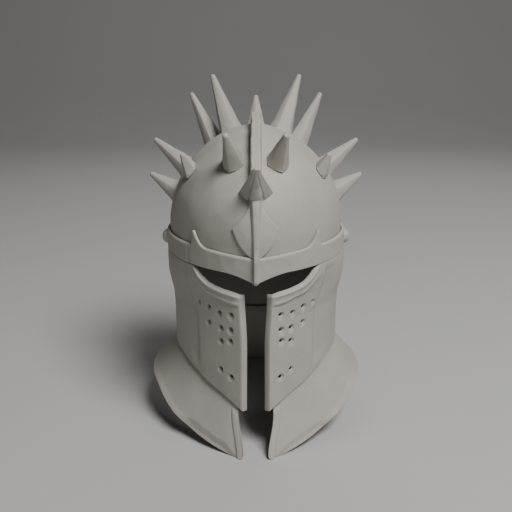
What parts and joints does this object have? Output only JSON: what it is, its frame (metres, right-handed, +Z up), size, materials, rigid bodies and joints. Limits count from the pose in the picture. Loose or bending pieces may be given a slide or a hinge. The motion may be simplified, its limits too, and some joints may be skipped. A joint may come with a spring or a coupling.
{
  "type": "spiked helmet",
  "caption": "Closed steel helmet with a domed skull, brow band, eye slot, breath slit, flared neck collar, comb and spikes.",
  "frame": {"origin": "middle of the base on the surface the helmet stands on, at the centre of its bounding box", "axes": "+Z up, the face looks along -Y, X = 0 is the plane of symmetry; left in a name is -X, as seen from the front"},
  "size_m": [0.2572, 0.264, 0.3928],
  "materials": {
    "steel_plate": "matt warm grey steel, lightly hammered",
    "steel_trim": "matt warm grey steel, smooth with worn edges",
    "steel_spike": "matt warm grey steel, filed to soft facets"
  },
  "bodies": {
    "root": {"skull": "steel_plate", "brow_plate": "steel_trim", "temple_band": "steel_trim", "leaf_plate": "steel_trim", "front_rib": "steel_trim", "comb": "steel_trim", "face_wall": "steel_plate", "neck_collar": "steel_plate", "rivet_left": "steel_trim", "rivet_right": "steel_trim", "spike_rear_inner_left": "steel_spike", "spike_rear_inner_right": "steel_spike", "spike_rear_outer_left": "steel_spike", "spike_rear_outer_right": "steel_spike", "spike_side_upper_left": "steel_spike", "spike_side_upper_right": "steel_spike", "spike_side_lower_left": "steel_spike", "spike_side_lower_right": "steel_spike", "spike_front_inner_left": "steel_spike", "spike_front_inner_right": "steel_spike", "spike_front_outer_left": "steel_spike", "spike_front_outer_right": "steel_spike", "spike_front_middle": "steel_spike", "spike_rear_middle": "steel_spike"}
  },
  "joints": []
}
